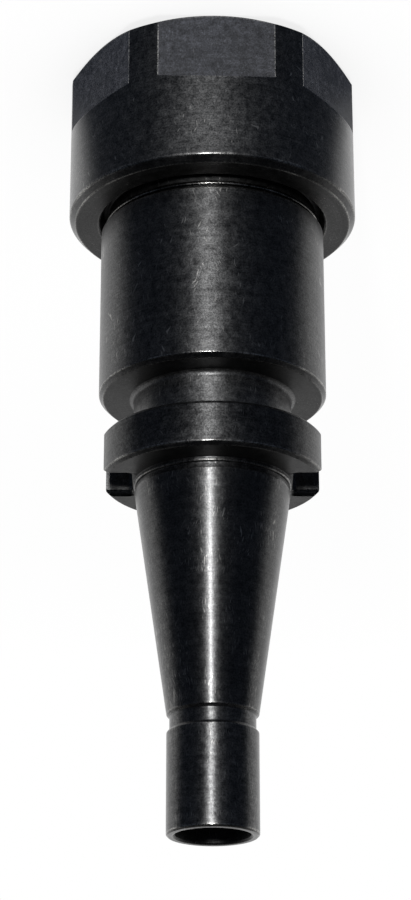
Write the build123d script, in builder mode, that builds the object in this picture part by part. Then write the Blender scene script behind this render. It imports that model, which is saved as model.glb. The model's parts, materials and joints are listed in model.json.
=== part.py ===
# Collet chuck holder: a steep-taper shank with a flange and a cylindrical body, and a big clamping nut
# that draws a slotted spring collet into the body's nose.
#
# Millimetres. The holder stands on the nut's front face, with the tail up:
#   Z  the axis of the tool, 0 on the nut's front face, rising to the tail end
#   X  the two drive slots lie on +X and -X

import os
from math import floor, pi, radians, tan

from build123d import *

# Metric thread form: how far the pitch line and the minor diameter lie inside the major, in pitches
pitch_line_drop = 0.6495
minor_drop = 1.0825

# Steep taper No. 40, 7 in 24 on the diameter, with its pilot and drawbar thread
gauge_d = 44.45
taper_rate = 7 / 24
taper_length = 65.4
pilot_d = 25.3
tail_length = 33.5
tail_groove_width = 4.5
tail_groove_depth = 0.8
tail_groove_bevel = 0.8
pilot_chamfer = 0.5
drawbar_thread_d = 16.0
drawbar_thread_pitch = 2.0
drawbar_thread_length = 32.0
drawbar_mouth_d = 20.5
drawbar_mouth_depth = 12.0
drawbar_mouth_chamfer = 0.5
centre_cone_angle = 30.0
through_bore_d = 12.0

# Flange with its drive slots, and the land and groove beside the taper
flange_d = 63.0
flange_thickness = 13.0
flange_edge_chamfer = 1.0
flange_back_chamfer = 1.0
gauge_offset = 1.6
land_height = 1.2
land_d = 44.4
land_chamfer = 0.3
relief_width = 1.6
relief_d = 42.6
slot_width = 16.1
slot_floor = 22.5
slot_bevel = 1.5
slot_corner_r = 1.5

# Neck and cylindrical body
neck_d = 45.0
neck_length = 12.5
neck_cove = 1.2
body_shoulder = 0.5
body_length = 52.5
body_tail_chamfer = 1.2
body_nose_chamfer = 0.7
collar_step = 0.9
collar_height = 1.9

# Nut thread, M64 x 2, round the collet's socket, drawn as plain cylinders on its pitch line
nose_wall = 6.0
thread_pitch = 2.0
thread_fit = 0.08
thread_chamfer = 1.0
nose_relief_width = 3.8
nose_relief_depth = 1.0
nose_chamfer = 0.6
nose_gap = 0.9

# Clamping nut: its skirt slides over the body
nut_skirt_play = 0.5
nut_skirt_wall = 9.0
nut_height = 48.5
nut_gap = 3.0
nut_flat_depth = 3.5
nut_flat_count = 6
nut_flat_height = 22.0
nut_cutter_r = 74.0
nut_clocking = -91.9
nut_front_chamfer_width = 4.0
nut_front_chamfer_height = 2.7
nut_back_chamfer = 1.8
nut_wall = 5.0
nut_mouth_play = 1.0
nut_skirt_depth = 9.0
nut_edge_chamfer = 0.5

# Spring collet, 8 degrees a side, with its 30 degree front cone
collet_recess = 1.0
collet_length = 60.0
collet_bore_d = 32.0
collet_taper_d = 52.0
collet_taper_angle = 8.0
collet_cone_angle = 30.0
collet_cone_length = 4.85
collet_collar_width = 2.15
collet_collar_drop = 0.6
collet_groove_width = 4.5
collet_groove_depth = 3.0
collet_slots_per_end = 8
collet_slot_width = 1.2
collet_web = 8.0
collet_edge_chamfer = 0.5
socket_fit = 0.08
socket_runout = 3.0

# Clearance bore behind the collet, with its drilled bottom
back_bore_play = 1.0
back_bore_length = 40.0
drill_point_angle = 59.0

# Ball thrust race, pressure ring and retaining ring
ball_d = 3.5
ball_spacing = 0.15
race_fit = 0.1
race_depth = 0.5
ring_mouth_fit = 0.25
ring_bore_fit = 0.3
ring_seat_fit = 0.05
ring_back_gap = 0.3
ring_lip_thickness = 2.8
ring_lip_play = 0.2
ring_lip_offset = 1.2
ring_relief = 0.4
retainer_thickness = 1.5
retainer_width = 2.5
retainer_groove_depth = 1.2
retainer_fit = 0.15
retainer_lug_d = 4.4
retainer_lug_hole_d = 1.6
retainer_lug_angle = 9.0

# Radii
gauge_r = gauge_d / 2
small_r = gauge_r - taper_length * taper_rate / 2
pilot_r = pilot_d / 2
tail_groove_r = pilot_r - tail_groove_depth
drawbar_r = (drawbar_thread_d - minor_drop * drawbar_thread_pitch) / 2
drawbar_mouth_r = drawbar_mouth_d / 2
through_bore_r = through_bore_d / 2
flange_r = flange_d / 2
land_r = land_d / 2
relief_r = relief_d / 2
neck_r = neck_d / 2
collet_bore_r = collet_bore_d / 2
collet_taper_r = collet_taper_d / 2
collet_collar_r = collet_taper_r - collet_collar_drop
collet_groove_r = collet_taper_r - collet_groove_depth
back_bore_r = collet_bore_r + back_bore_play
thread_major_r = collet_taper_r + nose_wall
thread_r = thread_major_r - pitch_line_drop * thread_pitch / 2
nose_relief_r = thread_r - nose_relief_depth
body_r = thread_major_r + body_shoulder
collar_r = body_r - collar_step
nut_bore_r = thread_r + thread_fit
nut_mouth_r = collet_taper_r + nut_mouth_play
nut_skirt_r = body_r + nut_skirt_play
nut_r = nut_skirt_r + nut_skirt_wall

# Heights, from the nut's front face up to the tail
nut_skirt_z = nut_height - nut_skirt_depth
body_nose_z = nut_height + nut_gap
body_tail_z = body_nose_z + body_length
flange_back_z = body_tail_z + neck_length
flange_face_z = flange_back_z + flange_thickness
gauge_z = flange_face_z + gauge_offset
land_z = flange_face_z + land_height
taper_z = land_z + relief_width
small_z = gauge_z + taper_length
pilot_z = small_z + tail_groove_width
tail_z = small_z + tail_length
taper_start_r = gauge_r - (taper_z - gauge_z) * taper_rate / 2

# The collet's levels, and the radii on its cones
collet_slope = tan(radians(collet_taper_angle))
cone_slope = tan(radians(collet_cone_angle))
collet_back_z = collet_recess + collet_length
collar_front_z = collet_recess + collet_cone_length
collar_back_z = collar_front_z + collet_collar_width
collet_taper_z = collar_back_z + collet_groove_width
collet_face_r = collet_collar_r - collet_cone_length * cone_slope
collet_back_r = collet_taper_r - (collet_back_z - collet_taper_z) * collet_slope
collet_slot_depth = collet_length - collet_web

# The race: ball centres, then the ring's flange behind them and the snap ring's groove
ball_r = ball_d / 2
race_r = ball_r + race_fit
ring_nose_r = nut_mouth_r - ring_mouth_fit
ball_track_r = (nut_mouth_r + nut_bore_r) / 2
ball_z = nut_wall - race_depth + race_r
ring_flange_z = ball_z + race_r - race_depth
ring_flange_r = nut_bore_r - ring_bore_fit
ring_lip_z = collar_back_z + ring_relief
ring_back_z = ring_lip_z + ring_lip_thickness
ring_cavity_r = collet_collar_r + ring_relief
ball_count = floor(2 * pi * ball_track_r / (ball_d + ball_spacing))
retainer_z = ring_back_z + ring_back_gap
retainer_groove_r = nut_bore_r + retainer_groove_depth
retainer_r = retainer_groove_r - retainer_fit
retainer_inner_r = retainer_r - retainer_width

# The nose starts behind the snap ring, and the socket follows the collet's taper
nose_z = retainer_z + retainer_thickness + nose_gap
socket_end_z = collet_back_z + socket_runout
socket_mouth_r = collet_taper_r + socket_fit - (nose_z - collet_taper_z) * collet_slope
socket_end_r = collet_taper_r + socket_fit - (socket_end_z - collet_taper_z) * collet_slope
back_bore_z = socket_end_z + back_bore_length
drill_rise = (back_bore_r - through_bore_r) / tan(radians(drill_point_angle))
mouth_floor_z = tail_z - drawbar_mouth_depth
cone_rise = (drawbar_mouth_r - drawbar_r) / tan(radians(centre_cone_angle))
thread_top_z = mouth_floor_z - cone_rise
thread_end_z = thread_top_z - drawbar_thread_length
collar_z = body_nose_z - collar_height
nose_thread_z = collar_z - nose_relief_width

os.makedirs("parts", exist_ok=True)

# Holder: the outside is turned from the tail to the nose
with BuildPart() as holder_body:
    with BuildSketch(Plane.XZ):
        with BuildLine():
            Polyline(
                (0, tail_z),
                (pilot_r - pilot_chamfer, tail_z),
                (pilot_r, tail_z - pilot_chamfer),
                (pilot_r, pilot_z + tail_groove_bevel),
                (tail_groove_r, pilot_z),
                (tail_groove_r, small_z + tail_groove_bevel),
                (small_r, small_z),
                (taper_start_r, taper_z),
                (relief_r, taper_z),
                (relief_r, land_z),
                (land_r - land_chamfer, land_z),
                (land_r, land_z - land_chamfer),
                (land_r, flange_face_z),
                (flange_r - flange_edge_chamfer, flange_face_z),
                (flange_r, flange_face_z - flange_edge_chamfer),
                (flange_r, flange_back_z + flange_back_chamfer),
                (flange_r - flange_back_chamfer, flange_back_z),
                (neck_r, flange_back_z),
                (neck_r, body_tail_z + neck_cove),
            )
            RadiusArc((neck_r, body_tail_z + neck_cove), (neck_r + neck_cove, body_tail_z), neck_cove)
            Polyline(
                (neck_r + neck_cove, body_tail_z),
                (body_r - body_tail_chamfer, body_tail_z),
                (body_r, body_tail_z - body_tail_chamfer),
                (body_r, body_nose_z + body_nose_chamfer),
                (body_r - body_nose_chamfer, body_nose_z),
                (collar_r, body_nose_z),
                (collar_r, collar_z),
                (nose_relief_r, collar_z),
                (nose_relief_r, nose_thread_z),
                (thread_r, nose_thread_z - nose_relief_depth),
                (thread_r, nose_z + thread_chamfer),
                (thread_r - thread_chamfer, nose_z),
                (0, nose_z),
                (0, tail_z),
            )
        make_face()
    revolve(axis=Axis.Z)
    # The inside: collet socket, clearance bore, through bore, drawbar thread and its mouth
    with BuildSketch(Plane.XZ):
        with BuildLine():
            Polyline(
                (0, nose_z),
                (socket_mouth_r + nose_chamfer, nose_z),
                (socket_mouth_r - nose_chamfer * collet_slope, nose_z + nose_chamfer),
                (socket_end_r, socket_end_z),
                (back_bore_r, socket_end_z),
                (back_bore_r, back_bore_z),
                (through_bore_r, back_bore_z + drill_rise),
                (through_bore_r, thread_end_z),
                (drawbar_r, thread_end_z),
                (drawbar_r, thread_top_z),
                (drawbar_mouth_r, mouth_floor_z),
                (drawbar_mouth_r, tail_z - drawbar_mouth_chamfer),
                (drawbar_mouth_r + drawbar_mouth_chamfer, tail_z),
                (0, tail_z),
                close=True,
            )
        make_face()
    revolve(axis=Axis.Z, mode=Mode.SUBTRACT)
    # Two drive slots across the flange, with round inner corners
    with BuildSketch(Plane.XY.offset(flange_back_z)):
        with PolarLocations(slot_floor + flange_r / 2, 2):
            Rectangle(flange_r, slot_width)
        fillet(vertices().sort_by(lambda corner: abs(corner.X))[:4], slot_corner_r)
    extrude(amount=flange_thickness, mode=Mode.SUBTRACT)
    # Each slot is bevelled where it meets the face beside the taper
    for side in (1, -1):
        with BuildSketch(Plane.YZ.offset(side * slot_floor)):
            with BuildLine():
                Polyline(
                    (-slot_width / 2, flange_face_z - slot_bevel),
                    (slot_width / 2, flange_face_z - slot_bevel),
                    (slot_width / 2 + slot_bevel, flange_face_z),
                    (-slot_width / 2 - slot_bevel, flange_face_z),
                    close=True,
                )
            make_face()
        extrude(amount=side * flange_r, mode=Mode.SUBTRACT)
holder_body.part.label = "holder_body"

# Clamping nut: turned outside and inside, then six flats milled on the front half with a big round cutter
with BuildPart() as clamping_nut:
    with BuildSketch(Plane.XZ):
        with BuildLine():
            Polyline(
                (nut_mouth_r, nut_edge_chamfer),
                (nut_mouth_r + nut_edge_chamfer, 0),
                (nut_r - nut_front_chamfer_width, 0),
                (nut_r, nut_front_chamfer_height),
                (nut_r, nut_height - nut_back_chamfer),
                (nut_r - nut_back_chamfer, nut_height),
                (nut_skirt_r + nut_edge_chamfer, nut_height),
                (nut_skirt_r, nut_height - nut_edge_chamfer),
                (nut_skirt_r, nut_skirt_z),
                (nut_bore_r + thread_chamfer, nut_skirt_z),
                (nut_bore_r, nut_skirt_z - thread_chamfer),
                (nut_bore_r, retainer_z + retainer_thickness + retainer_fit),
                (retainer_groove_r, retainer_z + retainer_thickness + retainer_fit),
                (retainer_groove_r, retainer_z - retainer_fit),
                (nut_bore_r, retainer_z - retainer_fit),
                (nut_bore_r, nut_wall),
                (nut_mouth_r, nut_wall),
                close=True,
            )
        make_face()
    revolve(axis=Axis.Z)
    with Locations((0, 0, nut_flat_height - nut_cutter_r)):
        with PolarLocations(nut_r, nut_flat_count, start_angle=nut_clocking):
            Cylinder(nut_cutter_r, 2 * nut_flat_depth, rotation=(0, 90, 0), mode=Mode.SUBTRACT)
    with BuildSketch(Plane.XZ):
        with Locations((ball_track_r, ball_z)):
            Circle(race_r)
    revolve(axis=Axis.Z, mode=Mode.SUBTRACT)
clamping_nut.part.label = "clamping_nut"

# Pressure ring: it turns on the balls, seats on the collet's front cone and grips behind its collar
with BuildPart() as pressure_ring:
    with BuildSketch(Plane.XZ):
        with BuildLine():
            Polyline(
                (collet_face_r + ring_seat_fit, collet_recess),
                (ring_nose_r, collet_recess),
                (ring_nose_r, ring_flange_z),
                (ring_flange_r, ring_flange_z),
                (ring_flange_r, ring_back_z),
                (collet_groove_r, ring_back_z),
                (collet_groove_r, ring_lip_z),
                (ring_cavity_r, ring_lip_z),
                (ring_cavity_r, collar_front_z),
                (collet_collar_r + ring_seat_fit, collar_front_z),
                close=True,
            )
        make_face()
    revolve(axis=Axis.Z)
    with BuildSketch(Plane.XY.offset(ring_lip_z)):
        with Locations((ring_lip_offset, 0)):
            Circle(collet_collar_r + ring_lip_play)
    extrude(amount=ring_lip_thickness, mode=Mode.SUBTRACT)
    with BuildSketch(Plane.XZ):
        with Locations((ball_track_r, ball_z)):
            Circle(race_r)
    revolve(axis=Axis.Z, mode=Mode.SUBTRACT)
pressure_ring.part.label = "pressure_ring"

# Balls: one full ring
with BuildPart() as bearing_balls:
    with Locations((0, 0, ball_z)):
        with PolarLocations(ball_track_r, ball_count):
            Sphere(ball_r)
bearing_balls.part.label = "bearing_balls"

# Retaining ring: an open snap ring with two lugs for pliers
with BuildPart() as retaining_ring:
    with BuildSketch(Plane.XY.offset(retainer_z)):
        Circle(retainer_r)
        Circle(retainer_inner_r, mode=Mode.SUBTRACT)
        for lug_angle in (-retainer_lug_angle, retainer_lug_angle):
            with PolarLocations(retainer_inner_r, 1, start_angle=lug_angle):
                Circle(retainer_lug_d / 2)
                Circle(retainer_lug_hole_d / 2, mode=Mode.SUBTRACT)
        with Locations((retainer_inner_r, 0)):
            Rectangle(2 * retainer_lug_d, retainer_lug_d, mode=Mode.SUBTRACT)
    extrude(amount=retainer_thickness)
retaining_ring.part.label = "retaining_ring"

# Collet: turned and bored, then slotted in turn from the front and from the back
with BuildPart() as collet:
    with BuildSketch(Plane.XZ):
        with BuildLine():
            Polyline(
                (collet_bore_r + collet_edge_chamfer, collet_recess),
                (collet_face_r, collet_recess),
                (collet_collar_r, collar_front_z),
                (collet_collar_r, collar_back_z),
                (collet_groove_r, collar_back_z),
                (collet_groove_r, collet_taper_z),
                (collet_taper_r, collet_taper_z),
                (collet_back_r, collet_back_z),
                (collet_bore_r + collet_edge_chamfer, collet_back_z),
                (collet_bore_r, collet_back_z - collet_edge_chamfer),
                (collet_bore_r, collet_recess + collet_edge_chamfer),
                close=True,
            )
        make_face()
    revolve(axis=Axis.Z)
    with BuildSketch(Plane.XY.offset(collet_recess)):
        with PolarLocations(collet_taper_r, collet_slots_per_end):
            Rectangle(collet_taper_r, collet_slot_width)
    extrude(amount=collet_slot_depth, mode=Mode.SUBTRACT)
    with BuildSketch(Plane.XY.offset(collet_back_z)):
        with PolarLocations(collet_taper_r, collet_slots_per_end, start_angle=180 / collet_slots_per_end):
            Rectangle(collet_taper_r, collet_slot_width)
    extrude(amount=-collet_slot_depth, mode=Mode.SUBTRACT)
collet.part.label = "collet"

export_step(holder_body.part, "parts/holder_body.step")
export_step(clamping_nut.part, "parts/clamping_nut.step")
export_step(pressure_ring.part, "parts/pressure_ring.step")
export_step(bearing_balls.part, "parts/bearing_balls.step")
export_step(retaining_ring.part, "parts/retaining_ring.step")
export_step(collet.part, "parts/collet.step")
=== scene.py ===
import json
from math import pi, radians
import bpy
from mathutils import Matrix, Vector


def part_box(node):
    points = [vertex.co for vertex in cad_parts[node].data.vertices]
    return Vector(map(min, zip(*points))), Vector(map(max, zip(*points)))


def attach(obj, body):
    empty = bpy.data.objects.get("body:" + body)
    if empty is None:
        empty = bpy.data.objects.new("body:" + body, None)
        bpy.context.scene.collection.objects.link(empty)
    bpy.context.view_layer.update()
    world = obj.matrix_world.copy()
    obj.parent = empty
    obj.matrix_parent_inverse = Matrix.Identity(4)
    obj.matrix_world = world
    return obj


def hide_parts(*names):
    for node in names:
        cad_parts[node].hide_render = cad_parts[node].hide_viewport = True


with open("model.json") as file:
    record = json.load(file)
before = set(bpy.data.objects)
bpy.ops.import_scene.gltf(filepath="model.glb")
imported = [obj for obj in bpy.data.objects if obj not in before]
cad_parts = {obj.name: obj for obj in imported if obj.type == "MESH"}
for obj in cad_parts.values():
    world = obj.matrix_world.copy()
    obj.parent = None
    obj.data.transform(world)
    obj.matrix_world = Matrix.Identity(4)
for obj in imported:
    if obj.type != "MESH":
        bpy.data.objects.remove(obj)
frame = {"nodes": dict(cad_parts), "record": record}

from types import SimpleNamespace

import bpy
import numpy as np
from bpy.props import FloatProperty, FloatVectorProperty, IntProperty, PointerProperty
from mathutils import Quaternion, Vector

bl_info = {
    "name": "Collet Chuck Holder",
    "version": (1, 0, 0),
    "blender": (4, 5, 0),
    "location": "View3D > Sidebar > Chuck",
    "description": "Dresses a steep-taper collet chuck holder in turned, ground and milled black steel",
    "category": "Object",
}

# ---- Sizes, in metres

# MM turns a shop drawing's millimetres into metres
MM = 0.001

# What the frame says of the CAD part
MOUNTS = {mount["name"]: mount for mount in frame["record"]["mounts"]}
HOLDER_LOW, HOLDER_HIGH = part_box("holder_body")
NUT_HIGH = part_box("clamping_nut")[1]
TAIL_Z, NOSE_Z = HOLDER_HIGH.z, HOLDER_LOW.z
BODY_R = HOLDER_HIGH.x
NUT_R, NUT_BACK_Z = NUT_HIGH.x, NUT_HIGH.z
GAUGE_Z = MOUNTS["taper_seat"]["pos_m"][2]
SLOT_FLOOR, _, FLANGE_FACE_Z = MOUNTS["drive_slot_plus_x"]["pos_m"]
PILOT_R = MOUNTS["tail_pilot"]["dims"]["r_mm"] * MM
DRAWBAR_R = MOUNTS["drawbar_thread"]["dims"]["r_mm"] * MM
DRAWBAR_LENGTH = MOUNTS["drawbar_thread"]["dims"]["length_mm"] * MM
DRAWBAR_Z = MOUNTS["drawbar_thread"]["pos_m"][2]

# Roundings of the edges
FINE_EDGE, EDGE, SOFT_EDGE, BROKEN_EDGE = 0.12 * MM, 0.25 * MM, 0.35 * MM, 0.45 * MM

# The shank from the tail down: pilot, groove, land on the flange's face and relief behind it, flange, neck
PILOT_CHAMFER = 0.5 * MM
GROOVE_DEPTH = 0.8 * MM
LAND_R, LAND_HEIGHT = 22.2 * MM, 1.2 * MM
RELIEF_R, RELIEF_HEIGHT = 21.3 * MM, 1.6 * MM
FLANGE_CHAMFER = 1.0 * MM
SLOT_CORNER = 1.5 * MM
SLOT_START = 3.0 * MM
NECK_COVE = 1.2 * MM

# The body's chamfers, and what follows it towards the nose. An END is measured from the body's nose side.
BODY_CHAMFER, BODY_NOSE_CHAMFER = 1.2 * MM, 0.7 * MM
COLLAR_GROOVE_DEPTH, COLLAR_GROOVE_END = 1.5 * MM, 0.8 * MM
COLLAR_DEPTH, COLLAR_END = 0.9 * MM, 1.9 * MM
THREAD_RELIEF_DEPTH, THREAD_RELIEF_END = 0.4 * MM, 5.7 * MM
THREAD_BACK_CHAMFER, THREAD_NOSE_CHAMFER = 1.2 * MM, 1.6 * MM

# Inside the holder: the collet's socket, the drilled bore behind it, the through bore and the tail's mouth
SOCKET_SLOPE = radians(8)
SOCKET_END_R, SOCKET_END_Z = 18.84 * MM, 64.0 * MM
SOCKET_BEVEL_WIDTH, SOCKET_BEVEL_HEIGHT = 0.6 * MM, 0.7 * MM
BACK_BORE_R, BACK_BORE_LENGTH, DRILL_POINT = 17.0 * MM, 40.0 * MM, 6.6 * MM
THROUGH_BORE_R = 6.0 * MM
MOUTH_DEPTH, MOUTH_CHAMFER = 12.0 * MM, 0.5 * MM
INSIDE_R = 19.0 * MM

# Inside the nut: mouth, front wall, ball race, snap ring groove, thread and skirt, and the chamfer on its back
NUT_MOUTH_R, NUT_MOUTH_CHAMFER = 27.0 * MM, 0.5 * MM
FRONT_WALL_Z = 5.0 * MM
RACE_R, RACE_END_Z = 31.43 * MM, 11.35 * MM
RING_GROOVE_R, RING_GROOVE_END_Z = 32.6 * MM, 13.2 * MM
NUT_THREAD_CHAMFER = 1.3 * MM
SKIRT_DEPTH, SKIRT_CHAMFER = 9.0 * MM, 0.5 * MM
NUT_BACK_CHAMFER = 1.8 * MM

# Rows of the nut's outside, from the height of the flats' feet: one below, the ledge's rim, and two above
FOOT_BELOW, FOOT_LEDGE, FOOT_ABOVE, FOOT_END = 0.3 * MM, 0.04 * MM, 0.3 * MM, 0.45 * MM

# How finely the surfaces are divided, and the angle past which an edge is shaded sharp
SHARP_ANGLE = radians(38)
ARC_STEPS = 3
FLANGE_ROW = 0.5 * MM
THREAD_ROWS = 12
FLAT_COLUMNS, ARC_COLUMNS, FLAT_EDGE = 25, 15, 0.3 * MM

# A quarter of the slotted flange's outline: the stretches, their columns, and the angles that they take of a circle
FLOOR, CORNER, WALL, RIM = range(4)
STRETCH_COLUMNS = (7, 4, 5, 34)
STRETCH_ANGLES = np.radians([0, 16.5, 20.6, 23.5, 90])

# Rows nearer than SAME are one, TINY is far below any size here, and the rest sort faces by where they lie
SAME, TINY = 1e-7, 1e-6
SLACK, NEAR, BEVEL_REACH = 0.05 * MM, 0.1 * MM, 0.2 * MM

# The kinds of face, in the order of each piece's materials
BODY, NECK, FLANGE, TAPER, PILOT, BORE, FACED, BEVEL, COLLAR = range(9)
NUT_TURNED, NUT_MILLED, NUT_FACED, NUT_BEVEL = range(4)


class ShankSizes(bpy.types.PropertyGroup):
    """The shank and flange, from the tail to the neck."""

    gauge_radius: FloatProperty(
        name="Gauge radius", description="Radius of the taper at its gauge plane",
        default=22.225 * MM, unit="LENGTH", subtype="DISTANCE", precision=5,
    )
    taper_length: FloatProperty(
        name="Taper length", description="From the gauge plane to the taper's small end",
        default=65.4 * MM, unit="LENGTH", subtype="DISTANCE", precision=5,
    )
    taper_rate: FloatProperty(
        name="Taper rate", description="How much the diameter shrinks for each unit of length", default=7 / 24,
    )
    pilot_groove: FloatProperty(
        name="Pilot groove", description="Width of the groove between the taper and the pilot",
        default=4.5 * MM, unit="LENGTH", subtype="DISTANCE", precision=5,
    )
    mouth_radius: FloatProperty(
        name="Tail mouth radius", description="Radius of the plain mouth before the drawbar thread",
        default=10.25 * MM, unit="LENGTH", subtype="DISTANCE", precision=5,
    )
    flange_radius: FloatProperty(
        name="Flange radius", description="Radius of the slotted flange",
        default=31.5 * MM, unit="LENGTH", subtype="DISTANCE", precision=5,
    )
    flange_thickness: FloatProperty(
        name="Flange thickness", description="From the flange's face to the neck",
        default=13.0 * MM, unit="LENGTH", subtype="DISTANCE", precision=5,
    )
    slot_width: FloatProperty(
        name="Drive slot width", description="Width of the two drive slots",
        default=16.1 * MM, unit="LENGTH", subtype="DISTANCE", precision=5,
    )
    slot_bevel: FloatProperty(
        name="Drive slot bevel", description="Bevel of the slots' edges on the flange's face",
        default=1.5 * MM, unit="LENGTH", subtype="DISTANCE", precision=5,
    )
    neck_radius: FloatProperty(
        name="Neck radius", description="Radius of the neck between flange and body",
        default=22.5 * MM, unit="LENGTH", subtype="DISTANCE", precision=5,
    )
    neck_length: FloatProperty(
        name="Neck length", description="Length of the neck",
        default=12.5 * MM, unit="LENGTH", subtype="DISTANCE", precision=5,
    )
    body_length: FloatProperty(
        name="Body length", description="Length of the cylindrical body",
        default=52.5 * MM, unit="LENGTH", subtype="DISTANCE", precision=5,
    )


class NutSizes(bpy.types.PropertyGroup):
    """The clamping nut and the thread that it shares with the holder's nose."""

    thread_radius: FloatProperty(
        name="Thread radius", description="Crest radius of the nose's thread",
        default=31.95 * MM, unit="LENGTH", subtype="DISTANCE", precision=5,
    )
    thread_depth: FloatProperty(
        name="Thread depth", description="From crest to root",
        default=1.15 * MM, unit="LENGTH", subtype="DISTANCE", precision=5,
    )
    thread_pitch: FloatProperty(
        name="Thread pitch", description="Rise of the thread in one turn",
        default=2.0 * MM, unit="LENGTH", subtype="DISTANCE", precision=5,
    )
    thread_fit: FloatProperty(
        name="Thread fit", description="Play between the nut's thread and the nose's",
        default=0.12 * MM, unit="LENGTH", subtype="DISTANCE", precision=5,
    )
    flat_radius: FloatProperty(
        name="Flat distance", description="From the axis to each wrench flat",
        default=38.5 * MM, unit="LENGTH", subtype="DISTANCE", precision=5,
    )
    flat_height: FloatProperty(
        name="Flat height", description="Height of the wrench flats, from the nut's front face",
        default=22.0 * MM, unit="LENGTH", subtype="DISTANCE", precision=5,
    )
    cutter_radius: FloatProperty(
        name="Cutter radius", description="Radius of the cutter that leaves the flats' round feet",
        default=74.0 * MM, unit="LENGTH", subtype="DISTANCE", precision=5,
    )
    flat_count: IntProperty(name="Flats", description="How many wrench flats the nut has", default=6)
    flat_turn: FloatProperty(
        name="Flat turn", description="How far the first flat is turned from the x axis, about the tool's axis",
        default=radians(-91.9), subtype="ANGLE",
    )
    skirt_radius: FloatProperty(
        name="Skirt radius", description="Inner radius of the skirt that slides over the body",
        default=33.0 * MM, unit="LENGTH", subtype="DISTANCE", precision=5,
    )
    chamfer_width: FloatProperty(
        name="Front chamfer width", description="How far the front chamfer reaches in",
        default=4.0 * MM, unit="LENGTH", subtype="DISTANCE", precision=5,
    )
    chamfer_height: FloatProperty(
        name="Front chamfer height", description="How far the front chamfer reaches back",
        default=2.7 * MM, unit="LENGTH", subtype="DISTANCE", precision=5,
    )


class SteelFinish(bpy.types.PropertyGroup):
    """Colours of the blackened, worn and bright steel."""

    black: FloatVectorProperty(
        name="Black", description="Blackened steel, as a dark metal", subtype="COLOR", size=3, min=0, max=1,
        default=(0.078, 0.078, 0.078),
    )
    matte_black: FloatVectorProperty(
        name="Matte black", description="Milled flats, where the blackening is greyer", subtype="COLOR", size=3,
        min=0, max=1, default=(0.0184, 0.0195, 0.0241),
    )
    worn: FloatVectorProperty(
        name="Worn edge", description="Steel showing through on the edges", subtype="COLOR", size=3,
        min=0, max=1, default=(0.45, 0.44, 0.42),
    )
    bright: FloatVectorProperty(
        name="Bright steel", description="Ground steel without blackening", subtype="COLOR", size=3,
        min=0, max=1, default=(0.42, 0.42, 0.41),
    )


class StudioSettings(bpy.types.PropertyGroup):
    """Camera, lamps and floor."""

    camera_distance: FloatProperty(
        name="Camera distance", description="From the axis, level with the floor",
        default=0.65, unit="LENGTH", subtype="DISTANCE",
    )
    camera_height: FloatProperty(
        name="Camera height", description="Above the floor", default=0.375, unit="LENGTH", subtype="DISTANCE",
    )
    aim_height: FloatProperty(
        name="Aim height", description="Height on the axis that the camera looks at",
        default=0.119, unit="LENGTH", subtype="DISTANCE", precision=4,
    )
    aim_side: FloatProperty(
        name="Aim side", description="How far the camera looks past the axis",
        default=0.002, unit="LENGTH", subtype="DISTANCE", precision=4,
    )
    lens: FloatProperty(name="Lens", description="Focal length in millimetres", default=98.5)
    strip_power: FloatProperty(name="Strip lamp", description="Power of the tall lamp by the camera", default=10.5)
    strip_side: FloatProperty(
        name="Strip lamp side", description="How far the tall lamp stands to the side",
        default=0.085, unit="LENGTH", subtype="DISTANCE", precision=4,
    )
    top_power: FloatProperty(name="Top lamp", description="Power of the wide lamp overhead", default=16.0)
    room_colour: FloatVectorProperty(
        name="Room colour", description="How the room on the camera's side looks in the steel", subtype="COLOR",
        size=3, min=0, max=1, default=(0.042, 0.053, 0.076),
    )
    fill: FloatProperty(name="Fill", description="Strength of the even light from all sides", default=0.35)


def settings():
    """The property groups, as the scene holds them."""
    scene = bpy.context.scene
    return scene.chuck_shank, scene.chuck_nut, scene.chuck_finish, scene.chuck_studio


# ---- Surfaces


def rounded_profile(corners, support=0.35 * MM, support_share=0.3):
    """A closed outline of radius and height with its corners rounded: each has its rounding and its wear.

    Each corner is cut back by radius over the tangent of half its angle, and an arc about the centre on its
    bisector joins the cuts: the arc's points are the two cut directions blended by sines. A point a little way
    along each side, at most support_share of it, keeps the shading of the side flat. Returns the points, and the
    wear on the arcs, 0 elsewhere.
    """
    table = np.array(corners, float)
    point, radius, wear = table[:, :2], table[:, 2], table[:, 3]
    back, ahead = np.roll(point, 1, 0) - point, np.roll(point, -1, 0) - point
    back_length, ahead_length = np.linalg.norm(back, axis=1), np.linalg.norm(ahead, axis=1)
    back, ahead = back / back_length[:, None], ahead / ahead_length[:, None]
    half = np.arccos(np.clip((back * ahead).sum(1), -1, 1)) / 2
    straight = half > pi / 2 - 1e-4
    cut = np.where(straight, 0, radius / np.tan(half))
    bisector = back + ahead
    length = np.where(straight, 1, np.linalg.norm(bisector, axis=1))
    centre = point + bisector / length[:, None] * np.where(straight, 0, radius / np.sin(half))[:, None]
    start, end = point + back * cut[:, None] - centre, point + ahead * cut[:, None] - centre
    turn = np.where(straight, 1, pi - 2 * half)[:, None, None]
    step = np.linspace(0, 1, ARC_STEPS + 1)[None, :, None]
    arc = (np.sin((1 - step) * turn) * start[:, None] + np.sin(step * turn) * end[:, None]) / np.sin(turn)
    arc = centre[:, None] + np.where(straight[:, None, None], 0, arc)
    before = arc[:, :1] + (back * np.minimum(support, support_share * back_length)[:, None])[:, None]
    after = arc[:, -1:] + (ahead * np.minimum(support, support_share * ahead_length)[:, None])[:, None]
    worn = np.zeros((len(table), ARC_STEPS + 3))
    worn[:, 1:-1] = wear[:, None]
    rows = np.concatenate([before, arc, after], 1).reshape(-1, 2)
    apart = np.linalg.norm(rows - np.roll(rows, 1, 0), axis=1) > SAME
    return rows[apart], worn.reshape(-1)[apart]


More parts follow.
